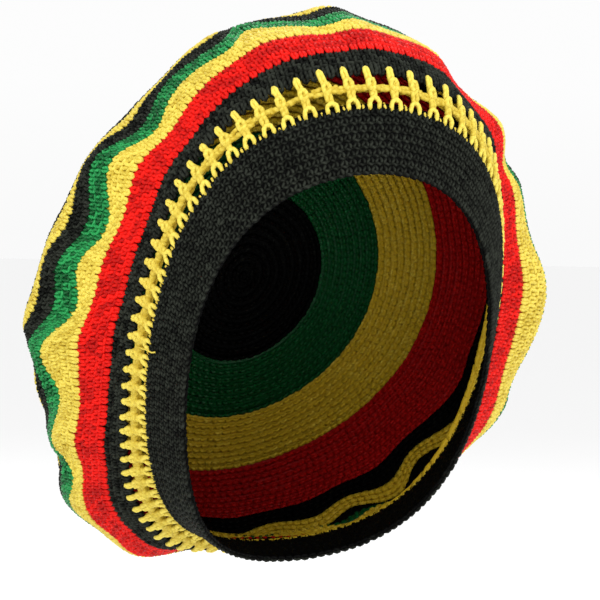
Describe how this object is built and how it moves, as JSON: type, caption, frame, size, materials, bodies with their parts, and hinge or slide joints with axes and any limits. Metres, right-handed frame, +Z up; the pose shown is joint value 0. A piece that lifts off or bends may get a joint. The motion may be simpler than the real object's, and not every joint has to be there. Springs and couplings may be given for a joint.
{
  "type": "crocheted tam",
  "caption": "Slouchy crocheted tam with a ribbed black brim band, a round of yellow openwork and a wide crown of plain and rippled red, yellow, green and black stripes, hanging back as worn.",
  "frame": {"origin": "centre of the head opening, where the head goes in", "axes": "+Z up as worn, the wearer faces -Y, the wearer's left is +X"},
  "size_m": [0.2781, 0.2513, 0.2878],
  "materials": {
    "black_yarn": "matte",
    "yellow_yarn": "matte",
    "red_yarn": "matte",
    "green_yarn": "matte"
  },
  "bodies": {
    "root": {"brim_band": "black_yarn", "openwork_round": "yellow_yarn", "black_round": "black_yarn", "red_band": "red_yarn", "yellow_band": "yellow_yarn", "green_ripple": "green_yarn", "black_ripple": "black_yarn", "yellow_shoulder": "yellow_yarn", "black_shoulder": "black_yarn", "red_back": "red_yarn", "yellow_back": "yellow_yarn", "green_back": "green_yarn", "crown_centre": "black_yarn"}
  },
  "joints": []
}
